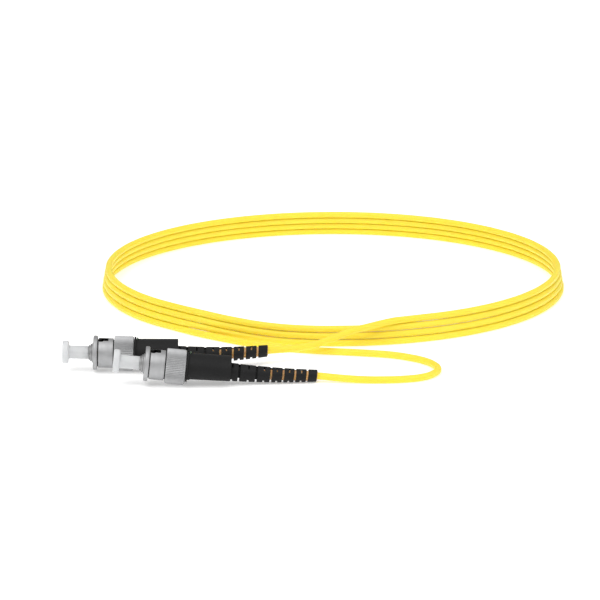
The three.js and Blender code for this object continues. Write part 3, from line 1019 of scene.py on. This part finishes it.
def strain_sleeve(bend):
    """The coloured sleeve round the cord behind the liner, which shows through the boot's cuts."""
    front = LINER_REAR - 0.1
    rear = BOOT_END - 0.15
    bore = CORD_RADIUS + 0.05
    stations = tail_stations(rear, front)
    inside = [(station, bore) for station in stations[1:-1]]
    skin = [(station, STRAIN_SLEEVE_RADIUS) for station in reversed(stations[1:-1])]
    return bend_tail(turned([
        (rear, bore, 0.06), *inside, (front, bore, 0.06),
        (front, STRAIN_SLEEVE_RADIUS, 0.08), *skin, (rear, STRAIN_SLEEVE_RADIUS, 0.08),
    ], 64), bend)


def cord_end(bend):
    front = -10.7
    skin = [(station, CORD_RADIUS) for station in tail_stations(CORD_END_REAR, front)]
    return bend_tail(turned([(CORD_END_REAR, 0), *skin, (front, 0)], 48), bend)


# ---- Assembly -------------------------------------------------------------------------------
def add_connectors():
    for side in SIDES:
        bend = TAIL_BENDS[side]
        for kind, body, slot in (
            ("ferrule", ferrule(), "ceramic"),
            ("ferrule_holder", ferrule_holder(), "holder_brass"),
            ("connector_body", connector_body(), "body_metal"),
            ("retaining_clip", retaining_clip(), "clip_metal"),
            ("buffered_fiber", buffered_fiber(), "buffer_white"),
            ("aramid_yarn", aramid_yarn(), "aramid"),
            ("crimp_sleeve", crimp_sleeve(), "crimp_metal"),
            ("boot", boot(bend), "boot_rubber"),
            ("strain_sleeve", strain_sleeve(bend), "sleeve_orange"),
            ("cord_end", cord_end(bend), "jacket_yellow"),
        ):
            add_piece(kind, side, body, slot)
        add_piece("dust_cap", side, dust_cap(), "dust_cap", f"cap_{side}")
        add_piece("coupling_nut", side, coupling_nut(), "nut_metal", f"nut_{side}")
        carrier = f"nut_carrier_{side}"
        add_piece("spring_washer", side, spring_washer(), "washer_steel", carrier)
        spring = add_piece("nut_spring", side, nut_spring(), "spring_steel", None)
        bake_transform(spring)


def add_floor():
    """A pale sheet that runs out of sight on every side."""
    reach = 3.0
    cells = 12
    gap_below = 0.00002
    body = bmesh.new()
    bmesh.ops.create_grid(body, x_segments=cells, y_segments=cells, size=reach)
    floor = add_object("floor", to_mesh(body, "floor"))
    floor.location = (COIL_MIDDLE.x, COIL_MIDDLE.y, -gap_below)
    floor.data.materials.append(floor_paper())


def add_light(name, place, strength, spread):
    """A far, wide soft light that shines from a place towards the middle of the coil."""
    data = bpy.data.lights.new(name, "SUN")
    data.energy = strength
    data.angle = math.radians(spread)
    light = add_object(name, data)
    light.location = COIL_MIDDLE + Vector(place)
    light.rotation_euler = (-Vector(place)).to_track_quat("-Z", "Y").to_euler()


def add_world(strength):
    """Even light from a pale room, a little dimmer towards the horizon."""
    horizon = 0.62
    world = bpy.data.worlds.new("room")
    bpy.context.scene.world = world
    world.use_nodes = True
    tree = world.node_tree
    direction = tree.nodes.new("ShaderNodeTexCoord")
    split = tree.nodes.new("ShaderNodeSeparateXYZ")
    ramp = tree.nodes.new("ShaderNodeValToRGB")
    ramp.color_ramp.elements[0].position = 0.0
    ramp.color_ramp.elements[0].color = (horizon, horizon, horizon, 1)
    ramp.color_ramp.elements[1].position = 0.75
    ramp.color_ramp.elements[1].color = (1, 1, 1, 1)
    background = tree.nodes["Background"]
    background.inputs["Strength"].default_value = strength
    tree.links.new(direction.outputs["Generated"], split.inputs["Vector"])
    tree.links.new(split.outputs["Z"], ramp.inputs["Fac"])
    tree.links.new(ramp.outputs["Color"], background.inputs["Color"])


materials = {
    "dust_cap": cap_plastic(),
    "ceramic": ceramic(),
    "holder_brass": turned_metal("holder_brass", (0.72, 0.60, 0.36), (0.64, 0.52, 0.30), 0.3),
    "body_metal": turned_metal("body_metal", (0.42, 0.42, 0.42), (0.37, 0.37, 0.375), 0.52),
    "nut_metal": turned_metal("nut_metal", (0.47, 0.472, 0.476), (0.42, 0.422, 0.427), 0.56),
    # Painted shade: a near-black metal for the faces in the nuts' bores, grooves and slots and on
    # the bodies' shoulders.
    "painted_shade_metal": turned_metal(
        "painted_shade_metal", (0.055, 0.055, 0.055), (0.04, 0.04, 0.04), 0.5
    ),
    # The spring is coloured near-black as painted shade, for the shade that it lies in inside the
    # nut.
    "spring_steel": drawn_steel("spring_steel", (0.10, 0.10, 0.104), (0.075, 0.075, 0.078), 0.4),
    "washer_steel": drawn_steel("washer_steel", (0.60, 0.61, 0.62), (0.52, 0.53, 0.54), 0.34),
    "clip_metal": drawn_steel("clip_metal", (0.17, 0.23, 0.18), (0.14, 0.20, 0.15), 0.55),
    "buffer_white": buffer_plastic(),
    "aramid": aramid(),
    "crimp_metal": turned_metal("crimp_metal", (0.55, 0.53, 0.50), (0.47, 0.45, 0.42), 0.4),
    "boot_rubber": boot_rubber(),
    "sleeve_orange": jacket("sleeve_orange", (0.86, 0.43, 0.16), (0.79, 0.37, 0.13), 0.5),
    "jacket_yellow": jacket("jacket_yellow", (0.93, 0.76, 0.066), (0.925, 0.735, 0.056), 0.45),
}

add_camera()
add_cord(materials["jacket_yellow"])
add_connectors()
add_floor()
add_world(0.56)
add_light("key", (-0.35, -0.35, 0.85), 1.5, 60)
add_light("fill", (0.6, -0.3, 0.6), 0.8, 70)
bpy.context.scene.view_settings.view_transform = "Standard"
